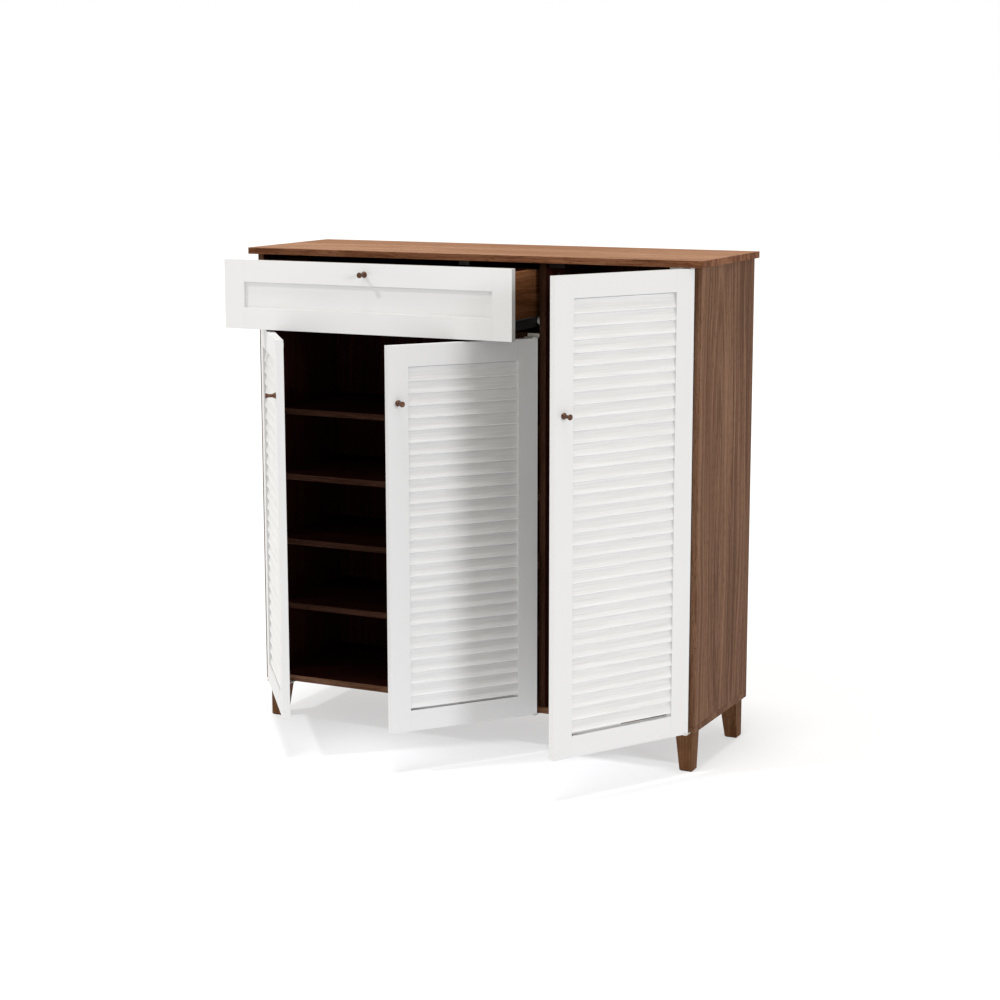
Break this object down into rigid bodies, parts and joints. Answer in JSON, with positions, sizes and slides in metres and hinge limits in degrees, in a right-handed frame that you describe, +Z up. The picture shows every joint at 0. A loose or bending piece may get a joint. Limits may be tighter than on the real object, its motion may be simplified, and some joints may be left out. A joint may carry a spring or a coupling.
{
  "type": "shoe cabinet",
  "caption": "Shoe cabinet with louvred swing doors over shelves, a wide drawer on runners under the top, an overhanging top board and short tapered legs.",
  "frame": {"origin": "floor level, below the middle of the carcass's width and depth (the doors and drawer, stored open, reach further forward)", "axes": "+X to the right seen from the front, +Y towards the wall, +Z up"},
  "size_m": [1.2, 0.7095, 1.205],
  "materials": {
    "walnut": "satin lacquered walnut veneer with straight grain",
    "white_paint": "satin white paint on wood",
    "bronze": "brushed antique bronze",
    "steel": "zinc plated",
    "dark_metal": "dark powder coat",
    "white_metal": "white powder coat on steel",
    "dark_plastic": "dark brown plastic",
    "beech": "raw beech",
    "nylon": "matt nylon",
    "glide_felt": "dark felt"
  },
  "bodies": {
    "cabinet": {"top_board": "walnut", "bottom_board": "walnut", "left_side_panel": "walnut", "right_side_panel": "walnut", "divider_panel": "walnut", "mid_board": "walnut", "back_panel": "walnut", "left_shelf_1": "walnut", "left_shelf_2": "walnut", "left_shelf_3": "walnut", "left_shelf_4": "walnut", "right_shelf_1": "walnut", "right_shelf_2": "walnut", "right_shelf_3": "walnut", "right_shelf_4": "walnut", "right_shelf_5": "walnut", "front_left_leg": "walnut", "front_right_leg": "walnut", "back_left_leg": "walnut", "back_right_leg": "walnut", "leg_bolts": "steel", "leg_glides": "glide_felt", "shelf_pins": "dark_metal", "panel_dowels": "beech", "cam_fasteners": "dark_metal", "wall_brackets": "steel", "hinge_brackets": "white_metal", "hinge_pins": "steel", "door_catches": "dark_plastic", "cabinet_runners": "dark_metal"},
    "drawer": {"drawer_stiles": "white_paint", "drawer_rails": "white_paint", "drawer_front_panel": "white_paint", "drawer_left_side": "walnut", "drawer_right_side": "walnut", "drawer_back": "walnut", "drawer_bottom": "walnut", "drawer_knob": "bronze", "drawer_runners": "dark_metal"},
    "left_door": {"left_door_stiles": "white_paint", "left_door_rails": "white_paint", "left_door_slats": "white_paint", "left_door_knob": "bronze", "left_door_hinge_leaves": "white_metal", "left_door_strike_plate": "steel"},
    "middle_door": {"middle_door_stiles": "white_paint", "middle_door_rails": "white_paint", "middle_door_slats": "white_paint", "middle_door_knob": "bronze", "middle_door_hinge_leaves": "white_metal", "middle_door_strike_plate": "steel"},
    "right_door": {"right_door_stiles": "white_paint", "right_door_rails": "white_paint", "right_door_slats": "white_paint", "right_door_knob": "bronze", "right_door_hinge_leaves": "white_metal", "right_door_strike_plate": "steel"},
    "cabinet_rollers": {"cabinet_rollers": "nylon"},
    "drawer_rollers": {"drawer_rollers": "nylon"}
  },
  "joints": [
    {"name": "drawer_slide", "type": "slide", "parent": "cabinet", "child": "drawer", "axis": [0, -1, 0], "range_m": [-0.14, 0.12]},
    {"name": "left_door_hinge", "type": "hinge", "parent": "cabinet", "child": "left_door", "pos_m": [-0.571, -0.201, 0], "axis": [0, 0, 1], "range_deg": [-47.25, 52.75]},
    {"name": "middle_door_hinge", "type": "hinge", "parent": "cabinet", "child": "middle_door", "pos_m": [0.1805, -0.201, 0], "axis": [0, 0, 1], "range_deg": [-52, 48]},
    {"name": "right_door_hinge", "type": "hinge", "parent": "cabinet", "child": "right_door", "pos_m": [0.571, -0.201, 0], "axis": [0, 0, 1], "range_deg": [-60, 40]},
    {"name": "cabinet_roller_spin", "type": "hinge", "parent": "cabinet", "child": "cabinet_rollers", "pos_m": [-0.1935, -0.1645, 1.0515], "axis": [1, 0, 0], "range_deg": [-900, 780]},
    {"name": "drawer_roller_spin", "type": "hinge", "parent": "drawer", "child": "drawer_rollers", "pos_m": [-0.1935, -0.0075, 1.0435], "axis": [1, 0, 0], "range_deg": [-900, 780]}
  ],
  "couplings": [
    {"joint": "cabinet_roller_spin", "follows": "drawer_slide", "rad_per_m": 111.11},
    {"joint": "drawer_roller_spin", "follows": "drawer_slide", "rad_per_m": 111.11}
  ]
}
